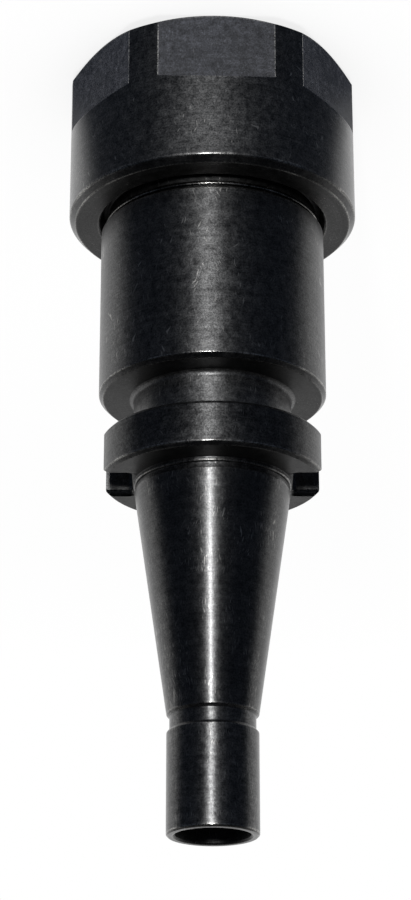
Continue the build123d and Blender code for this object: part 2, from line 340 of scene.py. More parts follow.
def divide_rows(rows, worn, heights, radii, step):
    """The outline with its sides between two heights and two radii divided into equal runs no longer than step.

    A side's runs are its length over step, rounded up, and their ends lie at equal shares of the side.
    """
    following = np.roll(rows, -1, 0)
    across, up = ((rows + following) / 2).T
    length = np.linalg.norm(following - rows, axis=1)
    chosen = (up > heights[0]) & (up < heights[1]) & (across > radii[0]) & (across < radii[1])
    runs = np.where(chosen, np.maximum(1, np.ceil(length / step - TINY)), 1).astype(int)
    source = np.repeat(np.arange(len(rows)), runs)
    share = (np.arange(runs.sum()) - np.repeat(np.cumsum(runs) - runs, runs)) / runs[source]
    made = rows[source] + share[:, None] * (following - rows)[source]
    return made, worn[source] + share * (np.roll(worn, -1) - worn)[source]


def closed_mesh(name, grid, worn, kind):
    """A mesh whose faces join each grid point to the next row and the next column, both ways round.

    grid is rows by columns by three. worn is the points' wear and kind the faces' material number, with one value
    for each row or for each point. The faces point outwards where the rows run up the outside.
    """
    shape = grid.shape[:2]
    count = shape[0] * shape[1]
    index = np.arange(count, dtype=np.int32).reshape(shape)
    right, up = np.roll(index, -1, 1), np.roll(index, -1, 0)
    corner = np.stack([index, right, np.roll(up, -1, 1), up], 2).reshape(-1)
    kind, worn = (
        np.broadcast_to(np.asarray(values, number).reshape(shape[0], -1), shape).reshape(-1)
        for values, number in ((kind, np.int32), (worn, np.float32))
    )
    mesh = bpy.data.meshes.new(name)
    mesh.vertices.add(count)
    mesh.vertices.foreach_set("co", grid.astype(np.float32).reshape(-1))
    mesh.loops.add(len(corner))
    mesh.loops.foreach_set("vertex_index", corner)
    mesh.polygons.add(count)
    mesh.polygons.foreach_set("loop_start", np.arange(0, len(corner), 4, dtype=np.int32))
    mesh.polygons.foreach_set("material_index", kind)
    mesh.polygons.foreach_set("use_smooth", np.ones(count, bool))
    mesh.update(calc_edges=True)
    mesh.attributes.new("edge_wear", "FLOAT", "POINT").data.foreach_set("value", worn)
    mesh.validate()
    return mesh


def add_piece(mesh, body, node, materials):
    """Links a mesh as the piece that stands for a CAD node, with sharp edges kept and flat sides shaded flat."""
    mesh.set_sharp_from_angle(angle=SHARP_ANGLE)
    piece = bpy.data.objects.new(mesh.name, mesh)
    bpy.context.scene.collection.objects.link(piece)
    for material in materials:
        mesh.materials.append(material)
    shading = piece.modifiers.new("Flat sides", "WEIGHTED_NORMAL")
    shading.keep_sharp = True
    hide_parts(node)
    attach(piece, body)
    return piece


def thread_radius(height, angle, nut, steepness=0.72):
    """Radius of the nose's right-hand thread: a cosine along the helix, clipped to flat crests and roots.

    The cosine turns once for each pitch of height, less one turn for each turn round the axis.
    """
    phase = height / nut.thread_pitch - angle / (2 * pi)
    ridge = np.clip(0.5 + steepness * np.cos(2 * pi * phase), 0, 1)
    return nut.thread_radius - nut.thread_depth * (1 - ridge)


# The holder


def holder_heights(shank):
    """The heights at which the holder's stretches meet: from one to the next by each stretch's length."""
    small = GAUGE_Z + shank.taper_length
    land = FLANGE_FACE_Z + LAND_HEIGHT
    flange_back = FLANGE_FACE_Z - shank.flange_thickness
    body_tail = flange_back - shank.neck_length
    body_nose = body_tail - shank.body_length
    return SimpleNamespace(
        pilot=small + shank.pilot_groove, small=small, taper=land + RELIEF_HEIGHT, land=land,
        flange_back=flange_back, body_tail=body_tail, body_nose=body_nose,
        thread_back=body_nose - THREAD_RELIEF_END, back_bore=SOCKET_END_Z + BACK_BORE_LENGTH,
        drawbar_top=DRAWBAR_Z + DRAWBAR_LENGTH / 2, drawbar_end=DRAWBAR_Z - DRAWBAR_LENGTH / 2,
    )


def holder_outline(shank, nut, root_r, z):
    """The holder's corners, each with its radius, height, rounding and wear.

    The taper's radius is the gauge radius less half the taper's rate times the height above the gauge plane, and
    the socket's is its end's and the slope's tangent times the depth below that end.
    """
    small_r = shank.gauge_radius - shank.taper_length * shank.taper_rate / 2
    taper_r = shank.gauge_radius - (z.taper - GAUGE_Z) * shank.taper_rate / 2
    socket_r = SOCKET_END_R + (SOCKET_END_Z - NOSE_Z) * np.tan(SOCKET_SLOPE)
    groove_r = PILOT_R - GROOVE_DEPTH
    flange_r = shank.flange_radius
    collar_groove_r, collar_groove_z = BODY_R - COLLAR_GROOVE_DEPTH, z.body_nose - COLLAR_GROOVE_END
    collar_r, collar_z = BODY_R - COLLAR_DEPTH, z.body_nose - COLLAR_END
    relief_r = root_r - THREAD_RELIEF_DEPTH
    return [
        # Down the outside, from the tail to the nose
        (PILOT_R - PILOT_CHAMFER, TAIL_Z, EDGE, 0.4),
        (PILOT_R, TAIL_Z - PILOT_CHAMFER, EDGE, 1.0),
        (PILOT_R, z.pilot + GROOVE_DEPTH, EDGE, 0.3),
        (groove_r, z.pilot, EDGE, 0),
        (groove_r, z.small + GROOVE_DEPTH, EDGE, 0),
        (small_r, z.small, EDGE, 0.5),
        (taper_r, z.taper, EDGE, 0.3),
        (RELIEF_R, z.taper, FINE_EDGE, 0),
        (RELIEF_R, z.land, FINE_EDGE, 0),
        (LAND_R, z.land, EDGE, 0.5),
        (LAND_R, FLANGE_FACE_Z, FINE_EDGE, 0),
        (flange_r - FLANGE_CHAMFER, FLANGE_FACE_Z, EDGE, 0.15),
        (flange_r, FLANGE_FACE_Z - FLANGE_CHAMFER, BROKEN_EDGE, 0.8),
        (flange_r, z.flange_back + FLANGE_CHAMFER, EDGE, 0),
        (flange_r - FLANGE_CHAMFER, z.flange_back, EDGE, 0),
        (shank.neck_radius, z.flange_back, FINE_EDGE, 0),
        (shank.neck_radius, z.body_tail, NECK_COVE, 0),
        (BODY_R - BODY_CHAMFER, z.body_tail, EDGE, 0.3),
        (BODY_R, z.body_tail - BODY_CHAMFER, EDGE, 1.0),
        (BODY_R, z.body_nose + BODY_NOSE_CHAMFER, EDGE, 1.0),
        (BODY_R - BODY_NOSE_CHAMFER, z.body_nose, EDGE, 0.7),
        (collar_groove_r, z.body_nose, FINE_EDGE, 0),
        (collar_groove_r, collar_groove_z, FINE_EDGE, 0),
        (collar_r, collar_groove_z, SOFT_EDGE, 1.0),
        (collar_r, collar_z, EDGE, 0.5),
        (relief_r, collar_z, FINE_EDGE, 0),
        (relief_r, z.thread_back, FINE_EDGE, 0),
        (nut.thread_radius, z.thread_back - THREAD_BACK_CHAMFER, EDGE, 0),
        (nut.thread_radius, NOSE_Z + THREAD_NOSE_CHAMFER, EDGE, 0),
        (nut.thread_radius - THREAD_NOSE_CHAMFER, NOSE_Z, EDGE, 0),
        # Up the inside, from the nose back to the tail
        (socket_r + SOCKET_BEVEL_WIDTH, NOSE_Z, EDGE, 0),
        (socket_r, NOSE_Z + SOCKET_BEVEL_HEIGHT, EDGE, 0),
        (SOCKET_END_R, SOCKET_END_Z, FINE_EDGE, 0),
        (BACK_BORE_R, SOCKET_END_Z, EDGE, 0),
        (BACK_BORE_R, z.back_bore, FINE_EDGE, 0),
        (THROUGH_BORE_R, z.back_bore + DRILL_POINT, EDGE, 0),
        (THROUGH_BORE_R, z.drawbar_end, EDGE, 0),
        (DRAWBAR_R, z.drawbar_end, FINE_EDGE, 0),
        (DRAWBAR_R, z.drawbar_top, EDGE, 0),
        (shank.mouth_radius, TAIL_Z - MOUTH_DEPTH, FINE_EDGE, 0),
        (shank.mouth_radius, TAIL_Z - MOUTH_CHAMFER, EDGE, 0),
        (shank.mouth_radius + MOUTH_CHAMFER, TAIL_Z, EDGE, 0.4),
    ]


def holder_columns(radius, half_width, notched):
    """Points of each row of the holder over a full turn, as rows by columns by two.

    A plain row is a circle. A notched row follows the flange's outline with its two slots: the floor at a fixed
    distance, a quarter circle, the straight wall, and the flange's circle from where the wall meets it, at the
    root of the radius squared less the half width squared. Points are evenly spaced along each stretch. One
    quadrant is worked out, and the others are its mirror images.
    """
    stretch = np.repeat(np.arange(len(STRETCH_COLUMNS)), STRETCH_COLUMNS)
    along = np.concatenate([np.arange(count) / count for count in STRETCH_COLUMNS])
    radius, half_width = radius[:, None], half_width[:, None]
    plain = STRETCH_ANGLES[stretch] + along * np.diff(STRETCH_ANGLES)[stretch]
    circle = np.stack([radius * np.cos(plain), radius * np.sin(plain)], 2)
    bend = pi - along * pi / 2
    wall_start = SLOT_FLOOR + SLOT_CORNER
    wall_end = np.sqrt(np.maximum(radius**2 - half_width**2, SLOT_FLOOR**2))
    rim_start = np.arctan2(half_width, wall_end)
    rim_angle = rim_start + along * (pi / 2 - rim_start)
    where = [stretch == FLOOR, stretch == CORNER, stretch == WALL]
    out = np.select(where, [
        SLOT_FLOOR, SLOT_FLOOR + SLOT_CORNER * (1 + np.cos(bend)), wall_start + along * (wall_end - wall_start),
    ], radius * np.cos(rim_angle))
    side = np.select(where, [
        (half_width - SLOT_CORNER) * along, half_width - SLOT_CORNER * (1 - np.sin(bend)), half_width,
    ], radius * np.sin(rim_angle))
    first = np.where(notched[:, None, None], np.stack([out, side], 2), circle)
    second = np.concatenate([radius[:, :, None] * (0.0, 1.0), first[:, :0:-1] * (-1, 1)], 1)
    half_turn = np.concatenate([first, second], 1)
    return np.concatenate([half_turn, -half_turn], 1)


def holder_kinds(rows, shank, root_r, z):
    """The kind of each row of faces, by the radius and height of its middle: the first of these that fits."""
    across, up = ((rows + np.roll(rows, -1, 0)) / 2).T
    on_shank = (across > shank.mouth_radius + MOUTH_CHAMFER + NEAR) & (up > z.taper - SLACK)
    level = np.abs(rows[:, 1] - np.roll(rows[:, 1], -1)) < SAME
    bevel = np.zeros(len(rows), bool)
    for edge_r, edge_z, chamfer in (
        (BODY_R, z.body_tail, BODY_CHAMFER), (shank.flange_radius, FLANGE_FACE_Z, FLANGE_CHAMFER),
    ):
        bevel |= (up > edge_z - chamfer - BEVEL_REACH) & (up < edge_z) & (across > edge_r - chamfer - NEAR)
    places = {
        BORE: ((across < INSIDE_R) | (up < z.body_nose - COLLAR_END - SLACK)) & ~on_shank,
        FACED: level & (up < TAIL_Z - NEAR),
        COLLAR: (across > root_r) & (across < BODY_R - COLLAR_DEPTH + SLACK) & (up < z.body_nose),
        BEVEL: bevel,
        PILOT: on_shank & (up > z.small),
        TAPER: on_shank,
        FLANGE: up > z.flange_back - SLACK,
        NECK: up > z.body_tail + SLACK,
    }
    return np.select(list(places.values()), list(places), BODY)


# The nut


def nut_outline(nut, minor_r, skirt_z):
    """The nut's corners, each with its radius, height, rounding and wear."""
    foot_z = nut.flat_height
    return [
        # Up the outside, from the mouth
        (NUT_MOUTH_R, NUT_MOUTH_CHAMFER, EDGE, 0),
        (NUT_MOUTH_R + NUT_MOUTH_CHAMFER, 0, EDGE, 0.3),
        (NUT_R - nut.chamfer_width, 0, EDGE, 0.3),
        (NUT_R, nut.chamfer_height, EDGE, 0.3),
        (NUT_R, foot_z - FOOT_BELOW, 0, 0),
        (NUT_R, foot_z, 0, 0),
        (NUT_R, foot_z + FOOT_LEDGE, 0, 0),
        (NUT_R, foot_z + FOOT_ABOVE, 0, 0),
        (NUT_R, foot_z + FOOT_END, 0, 0),
        (NUT_R, NUT_BACK_Z - NUT_BACK_CHAMFER, 2 * BROKEN_EDGE, 0.6),
        (NUT_R - NUT_BACK_CHAMFER, NUT_BACK_Z, EDGE, 0.9),
        # Down the inside, through the skirt, the thread, the snap ring's groove and the race
        (nut.skirt_radius + SKIRT_CHAMFER, NUT_BACK_Z, EDGE, 0.5),
        (nut.skirt_radius, NUT_BACK_Z - SKIRT_CHAMFER, EDGE, 0.2),
        (nut.skirt_radius, skirt_z, FINE_EDGE, 0),
        (minor_r + NUT_THREAD_CHAMFER, skirt_z, EDGE, 0),
        (minor_r, skirt_z - NUT_THREAD_CHAMFER, EDGE, 0),
        (minor_r, RING_GROOVE_END_Z + NUT_THREAD_CHAMFER, EDGE, 0),
        (minor_r + NUT_THREAD_CHAMFER, RING_GROOVE_END_Z, FINE_EDGE, 0),
        (RING_GROOVE_R, RING_GROOVE_END_Z, FINE_EDGE, 0),
        (RING_GROOVE_R, RACE_END_Z, FINE_EDGE, 0),
        (RACE_R, RACE_END_Z, FINE_EDGE, 0),
        (RACE_R, FRONT_WALL_Z, FINE_EDGE, 0),
        (NUT_MOUTH_R, FRONT_WALL_Z, EDGE, 0),
    ]


def nut_columns(nut):
    """The nut's columns over a full turn: their angles, their turns from their flat's middle, and half a flat's turn.

    A flat ends at the turn whose cosine is the flat's distance over the outer radius. The flat and the arc up to
    the next one are divided evenly, with a narrow column on each side of an edge to keep it crisp.
    """
    pitch = 2 * pi / nut.flat_count
    half_flat = np.arccos(nut.flat_radius / NUT_R)
    narrow = FLAT_EDGE / NUT_R
    across = np.concatenate([
        [-half_flat], np.linspace(-half_flat + narrow, half_flat - narrow, FLAT_COLUMNS), [half_flat],
        [half_flat + narrow], np.linspace(half_flat, pitch - half_flat, ARC_COLUMNS)[1:-1],
        [pitch - half_flat - narrow],
    ])
    away = np.tile((across + pitch / 2) % pitch - pitch / 2, nut.flat_count)
    angle = (across + np.arange(nut.flat_count)[:, None] * pitch).reshape(-1) + nut.flat_turn
    return angle, away, half_flat


def mill_flats(radius, height, away, half_flat, nut):
    """The radius and height of the nut's points after milling, and the rows that stand on the flats' wall.

    The wall's radius is the flat's distance over the cosine of the turn from its middle, or the outer radius where
    that is less. The front chamfer keeps its slope and shrinks to the share of its width that the wall leaves. A
    flat's foot is the cutter's circle: the flat's height less the cutter's radius, and the root of that radius
    squared less the square of the distance from the flat's middle. The wall's rows keep their shares of the way
    from the chamfer to the foot, and the few rows above move with it.
    """
    cone_r, cone_z, foot_z = NUT_R - nut.chamfer_width, nut.chamfer_height, nut.flat_height
    wall_r = np.minimum(NUT_R, nut.flat_radius / np.cos(away))
    share = (wall_r - cone_r) / nut.chamfer_width
    outside = radius > cone_r
    on_cone = outside & (height <= cone_z)
    on_wall = outside & (height > cone_z) & (height < foot_z + FOOT_LEDGE / 2)
    above = outside & (height > foot_z + FOOT_LEDGE / 2) & (height < foot_z + FOOT_END + SLACK)
    foot, foot_out = (
        foot_z - nut.cutter_radius + np.sqrt(nut.cutter_radius**2 - np.minimum(beside, NUT_R * np.sin(half_flat))**2)
        for beside in (nut.flat_radius * np.tan(np.abs(away)), NUT_R * np.sin(np.abs(away)))
    )
    sunk = foot - (foot_z - height) / (foot_z - cone_z) * (foot - cone_z * share)
    size = np.select([on_cone, on_wall], [cone_r + (radius - cone_r) * share, wall_r - NUT_R + radius], radius)
    level = np.select([on_cone, on_wall, above], [height * share, sunk, height + foot_out - foot_z], height)
    return size, level, on_wall


def nut_wear(worn, radius, height, away, half_flat, on_wall, nut):
    """The outline's wear, or where it is more: 1 on the flats' sides and on the ledge over a foot, 0.7 on a foot."""
    on_flat = np.abs(away) < half_flat
    side = np.isclose(np.abs(away), half_flat) & on_wall
    ledge = np.abs(height - nut.flat_height - FOOT_LEDGE) < FOOT_LEDGE / 4
    ledge = ledge & (radius > NUT_R - nut.chamfer_width) & on_flat
    ledge = ledge | np.roll(ledge, 1, 0)
    foot = on_wall & (height > nut.flat_height - FOOT_LEDGE / 4) & on_flat
    return np.maximum(worn[:, None], np.maximum(side | ledge, 0.7 * foot))


def nut_kinds(radius, height, away, half_flat, on_wall, nut):
    """The kind of each face: milled between two columns of a flat, then faced where level, or the back's chamfer."""
    on_flat = np.abs(away) < half_flat + TINY
    milled = on_wall & np.roll(on_wall, -1, 0) & on_flat & np.roll(on_flat, -1)
    faced = (np.abs(height - np.roll(height, -1, 0)) < SAME) & (height > nut.flat_height)
    bevel = height > NUT_BACK_Z - NUT_BACK_CHAMFER - BEVEL_REACH
    bevel = bevel & (radius > NUT_R - NUT_BACK_CHAMFER + SLACK)
    return np.select([milled, faced, bevel], [NUT_MILLED, NUT_FACED, NUT_BEVEL], NUT_TURNED)


# ---- Materials

# How fine each pattern of the steel is, in cycles a metre, and the range that most of a noise's values lie in
GRIT, MOTTLE, PATCHES, RINGS, HAIRS, WANDER = 2100, 480, 90, 1500, 2600, 140
NOISE_LOW, NOISE_HIGH = 0.3, 0.7
# How far a radian round the axis, a metre of height and the wider noise move the rings' and scratches' noise
RING_TURN, HAIR_TURN, HAIR_RISE, HAIR_WANDER = 0.0006, 0.03, 0.14, 0.006
# A place times LEVEL has lost its height
LEVEL = (1, 1, 0)
WHITE = (1, 1, 1)


def link_nodes(tree, kind, options=None, **inputs):
    """A new shader node with its options, and each input linked where it is a socket, or else set.

    An input is given by its name, with _ for a space, or by i and its number.
    """
    node = tree.nodes.new(kind)
    for key, value in (options or {}).items():
        setattr(node, key, value)
    for key, value in inputs.items():
        socket = node.inputs[int(key[1:]) if key[0] == "i" and key[1:].isdigit() else key.replace("_", " ")]
        if isinstance(value, bpy.types.NodeSocket):
            tree.links.new(value, socket)
        else:
            socket.default_value = value
    return node


def arithmetic(tree, operation, first, second=0.0, third=0.0):
    """The output of one Math node."""
    return link_nodes(tree, "ShaderNodeMath", {"operation": operation}, i0=first, i1=second, i2=third).outputs[0]


def vector_arithmetic(tree, operation, **inputs):
    """The outputs of one Vector Math node."""
    return link_nodes(tree, "ShaderNodeVectorMath", {"operation": operation}, **inputs).outputs


def noise(tree, vector, scale, detail=3.0, roughness=0.55):
    """The value of a noise texture at that scale, in cycles a metre."""
    node = link_nodes(tree, "ShaderNodeTexNoise", Vector=vector, Scale=scale, Detail=detail, Roughness=roughness)
    return node.outputs["Fac"]


def ramp(tree, value, low, high, bottom=0.0, top=1.0):
    """A value mapped from low..high to bottom..top, and held at its ends."""
    node = link_nodes(tree, "ShaderNodeMapRange", {"clamp": True}, Value=value, From_Min=low, From_Max=high,
                      To_Min=bottom, To_Max=top)
    return node.outputs["Result"]


def blend_colour(tree, share, first, second):
    """Two colours mixed by share."""
    node = link_nodes(tree, "ShaderNodeMix", {"data_type": "RGBA"}, Factor=share)
    colour_sockets = [socket for socket in node.inputs if socket.type == "RGBA"]
    for socket, value in zip(colour_sockets, (first, second)):
        if isinstance(value, bpy.types.NodeSocket):
            tree.links.new(value, socket)
        else:
            socket.default_value = (*value, 1)
    return [socket for socket in node.outputs if socket.type == "RGBA"][0]


def steel(name, colour, worn, roughness, anisotropy, grain, shine=1.0, metal=1.0, coat=0.0, bare=0.74):
    """Machined steel, as a metal of that colour times shine, with rings, grit, mottling, scratches and worn edges.

    Each pattern multiplies the colour by 1 less to 1 plus a multiple of grain. The rings are noise that reads the
    angle slowly and the height fast. The hairline scratches are noise that reads the height slowly and the angle
    fast, bent by wider noise, and they show where it passes bare: a lower bare gives more of them. Scratches and
    edges take the worn colour.
    """
    material = bpy.data.materials.new(name)
    material.use_nodes = True
    tree = material.node_tree
    shader = tree.nodes["Principled BSDF"]
    place = tree.nodes.new("ShaderNodeTexCoord").outputs["Object"]
    axes = link_nodes(tree, "ShaderNodeSeparateXYZ", Vector=place).outputs
    angle = arithmetic(tree, "ARCTAN2", axes["Y"], axes["X"])
    flat = vector_arithmetic(tree, "MULTIPLY", i0=place, i1=LEVEL)[0]
    radius = vector_arithmetic(tree, "LENGTH", i0=flat)["Value"]
    grit = noise(tree, place, GRIT, 3, 0.75)
    mottle = noise(tree, place, MOTTLE, 3, 0.6)
    patches = noise(tree, place, PATCHES, 2)

    # Rings of the turning tool, and scratches along the axis, which lie only in some patches
    turned = arithmetic(tree, "MULTIPLY", angle, RING_TURN)
    ring_place = link_nodes(tree, "ShaderNodeCombineXYZ", X=turned, Y=axes["Z"], Z=radius).outputs[0]
    rings = noise(tree, ring_place, RINGS, 3, 0.7)
    turned = arithmetic(tree, "MULTIPLY", angle, HAIR_TURN)
    around = arithmetic(tree, "MULTIPLY_ADD", noise(tree, place, WANDER, 1), HAIR_WANDER, turned)
    risen = arithmetic(tree, "MULTIPLY", axes["Z"], HAIR_RISE)
    hair_place = link_nodes(tree, "ShaderNodeCombineXYZ", X=around, Y=risen, Z=radius).outputs[0]
    hairs = ramp(tree, noise(tree, hair_place, HAIRS, 0), bare, bare + 0.08, 0.0, 0.05 + 0.5 * metal)
    hairs = arithmetic(tree, "MULTIPLY", hairs, ramp(tree, patches, 0.45, 0.6))

    # Wear on the edges, broken up by the patches and the grit
    edge = link_nodes(tree, "ShaderNodeAttribute", {"attribute_name": "edge_wear"}).outputs["Fac"]
    edge_wear = arithmetic(tree, "MULTIPLY", edge, ramp(tree, patches, 0.40, 0.60, 0.3, 1.0))
    edge_wear = arithmetic(tree, "MULTIPLY", edge_wear, ramp(tree, grit, 0.42, 0.58, 0.1, 1.0))
    shown = arithmetic(tree, "MAXIMUM", hairs, edge_wear)

    # Colour
    shade = ramp(tree, grit, NOISE_LOW, NOISE_HIGH, shine * (1 - 1.9 * grain), shine * (1 + 2.3 * grain))
    for pattern, depth in ((mottle, 0.9), (rings, 0.6), (patches, 0.3)):
        factor = ramp(tree, pattern, NOISE_LOW, NOISE_HIGH, 1 - depth * grain, 1 + depth * grain)
        shade = arithmetic(tree, "MULTIPLY", shade, factor)
    base = vector_arithmetic(tree, "SCALE", i0=colour, Scale=shade)[0]
    tree.links.new(blend_colour(tree, shown, base, worn), shader.inputs["Base Color"])

    # Gloss: the mottling makes it uneven, and worn edges are smoother
    rough = ramp(tree, mottle, NOISE_LOW, NOISE_HIGH)
    rough = arithmetic(tree, "MULTIPLY_ADD", rough, 0.3 * grain, roughness - 0.15 * grain)
    rough = arithmetic(tree, "MULTIPLY", rough, ramp(tree, edge, 0.0, 1.0, 1.0, 0.75))
    tree.links.new(rough, shader.inputs["Roughness"])
    shader.inputs["Metallic"].default_value = metal
    shader.inputs["Anisotropic"].default_value = anisotropy
    shader.inputs["Anisotropic Rotation"].default_value = 0.25
    shader.inputs["Coat Weight"].default_value = coat
    shader.inputs["Coat Roughness"].default_value = 0.16
    height = arithmetic(tree, "MULTIPLY_ADD", rings, 0.15, mottle)
    bump = link_nodes(tree, "ShaderNodeBump", Strength=1.0, Distance=grain * 0.10 * MM, Height=height)
    tree.links.new(bump.outputs[0], shader.inputs["Normal"])
    return material


def give_finish(node, material):
    """Gives a CAD node one material in place of its own."""
    materials = frame["nodes"][node].data.materials
    materials.clear()
    materials.append(material)


# ---- Operators


class CHUCK_OT_holder_body(bpy.types.Operator):
    """Turn the holder: shank, flange with its slots, neck, body and threaded nose, bored through."""

    bl_idname = "chuck.holder_body"
    bl_label = "Holder Body"

    def execute(self, context):
        shank, nut, finish, _ = settings()
        z = holder_heights(shank)
        root_r = nut.thread_radius - nut.thread_depth
        rows, worn = rounded_profile(holder_outline(shank, nut, root_r, z))
        rows, worn = divide_rows(rows, worn, (z.flange_back, FLANGE_FACE_Z),
                                 (shank.flange_radius - NEAR, shank.flange_radius + NEAR), FLANGE_ROW)
        rows, worn = divide_rows(rows, worn, (NOSE_Z, z.thread_back),
                                 (root_r - NEAR, nut.thread_radius + NEAR), nut.thread_pitch / THREAD_ROWS)
        radius, height = rows.T
        # The flange's rows outside the slots' floors are notched, and wider by the height above the bevel's foot
        notched = (height > z.flange_back - TINY) & (height < FLANGE_FACE_Z + TINY)
        notched &= radius > SLOT_FLOOR + SLOT_START
        half_width = shank.slot_width / 2 + np.clip(height - FLANGE_FACE_Z + shank.slot_bevel, 0, None)
        flat = holder_columns(radius, half_width, notched)
        # The nose's rows shrink to the thread's radius at their angle
        angle = np.arctan2(flat[:, :, 1], flat[:, :, 0])
        threaded = (height > NOSE_Z) & (height < z.thread_back) & (radius > root_r)
        cut = np.minimum(radius[:, None], thread_radius(height[:, None], angle, nut))
        shrunk = np.where(threaded[:, None], cut / radius[:, None], 1)
        grid = np.dstack([flat * shrunk[:, :, None], np.broadcast_to(height[:, None], angle.shape)])
        # The outline runs down the outside, so it is taken backwards, and the faces point outwards
        kind = np.roll(holder_kinds(rows, shank, root_r, z)[::-1], -1)
        mesh = closed_mesh("holder_body_dressed", grid[::-1], worn[::-1], kind)
        black, wear = finish.black, finish.worn
        finishes = {
            BODY: steel("Blackened body", black, wear, roughness=0.40, anisotropy=0.68, grain=0.35, shine=0.95),
            NECK: steel("Brushed neck", black, wear, roughness=0.44, anisotropy=0.50, grain=0.35, shine=1.18),
            FLANGE: steel("Blackened flange", black, wear, roughness=0.37, anisotropy=0.65, grain=0.4, shine=0.72),
            TAPER: steel("Blackened ground taper", black, wear, roughness=0.37, anisotropy=0.75, grain=0.3,
                         shine=0.76, coat=0.10, bare=0.68),
            PILOT: steel("Blackened pilot", black, wear, roughness=0.33, anisotropy=0.55, grain=0.33,
                         shine=0.95, bare=0.70),
            BORE: steel("Blackened bore", black, wear, roughness=0.45, anisotropy=0.3, grain=0.3, shine=0.47),
            FACED: steel("Faced end", black, wear, roughness=0.42, anisotropy=0.0, grain=0.35, shine=0.38),
            BEVEL: steel("Blackened bevel", black, wear, roughness=0.3, anisotropy=0.3, grain=0.25, shine=0.8),
            # The collar and its groove sit in the gap between the nut and the body. Shine 0.12 darkens their colour
            # there as painted shade of that gap.
            COLLAR: steel("Dark collar", black, wear, roughness=0.3, anisotropy=0.0, grain=0.3, shine=0.12),
        }
        add_piece(mesh, "holder", "holder_body", finishes.values())
        return {"FINISHED"}


class CHUCK_OT_clamping_nut(bpy.types.Operator):
    """Turn the clamping nut with its thread, and mill its wrench flats."""

    bl_idname = "chuck.clamping_nut"
    bl_label = "Clamping Nut"

    def execute(self, context):
        _, nut, finish, _ = settings()
        skirt_z = NUT_BACK_Z - SKIRT_DEPTH
        minor_r = nut.thread_radius - nut.thread_depth + nut.thread_fit
        rows, worn = rounded_profile(nut_outline(nut, minor_r, skirt_z))
        rows, worn = divide_rows(rows, worn, (RING_GROOVE_END_Z, skirt_z),
                                 (minor_r - NEAR, nut.thread_radius + nut.thread_fit),
                                 nut.thread_pitch / THREAD_ROWS)
        radius, height = rows[:, :1], rows[:, 1:]
        angle, away, half_flat = nut_columns(nut)
        size, level, on_wall = mill_flats(radius, height, away, half_flat, nut)
        # The bore's rows widen to the thread's radius and its play
        threaded = (height > RING_GROOVE_END_Z) & (height < skirt_z)
        threaded = threaded & (radius < nut.thread_radius) & (radius > minor_r - TINY)
        cut = np.maximum(radius, thread_radius(height, angle, nut) + nut.thread_fit)
        size = np.where(threaded, cut, size)
        grid = np.dstack([size * np.cos(angle), size * np.sin(angle), level])
        worn = nut_wear(worn, radius, height, away, half_flat, on_wall, nut)
        kind = nut_kinds(radius, height, away, half_flat, on_wall, nut)
        mesh = closed_mesh("clamping_nut_dressed", grid, worn, kind)
        black, wear = finish.black, finish.worn
        finishes = {
            NUT_TURNED: steel("Blackened nut", black, wear, roughness=0.46, anisotropy=0.45, grain=0.4,
                              shine=0.85, coat=0.4),
            NUT_MILLED: steel("Milled flat", finish.matte_black, wear, roughness=0.55, anisotropy=0.0, grain=0.5,
                              metal=0.0, coat=0.3),
            NUT_FACED: steel("Faced nut", black, wear, roughness=0.42, anisotropy=0.0, grain=0.35, shine=0.64),
            NUT_BEVEL: steel("Nut bevel", black, wear, roughness=0.3, anisotropy=0.3, grain=0.25, shine=0.8),
        }
        add_piece(mesh, "nut", "clamping_nut", finishes.values())
        return {"FINISHED"}


class CHUCK_OT_inner_parts(bpy.types.Operator):
    """Finish the pressure ring, the balls, the snap ring and the collet."""

    bl_idname = "chuck.inner_parts"
    bl_label = "Inner Parts"

    def execute(self, context):
        _, _, finish, _ = settings()
        bright, matte, wear = finish.bright, finish.matte_black, finish.worn
        finishes = {
            "collet": steel("Ground collet steel", bright, wear, roughness=0.28, anisotropy=0.6, grain=0.15),
            "pressure_ring": steel("Ground ring steel", bright, wear, roughness=0.24, anisotropy=0.6, grain=0.15),
            "bearing_balls": steel("Ball steel", bright, wear, roughness=0.12, anisotropy=0.0, grain=0.03),
            "retaining_ring": steel("Phosphated spring steel", matte, wear, roughness=0.5, anisotropy=0.0,
                                    grain=0.3, metal=0.0),
        }
        for node, material in finishes.items():
            give_finish(node, material)
        return {"FINISHED"}


# The stage: the floor's radius and sides, and the places, aims and sizes of the lamps
FLOOR_R, FLOOR_SIDES = 6, 96
STRIP_DEPTH, STRIP_HEIGHT, STRIP_AIM, STRIP_SIZE = -1.15, 0.19, (0, 0, 0.12), (0.06, 0.26)
TOP_PLACE, TOP_AIM, TOP_SIZE = (0, -0.15, 1.3), (0, 0, 0.1), (1.1, 1.1)
PALE_PAINT = (0.86, 0.86, 0.86, 1)


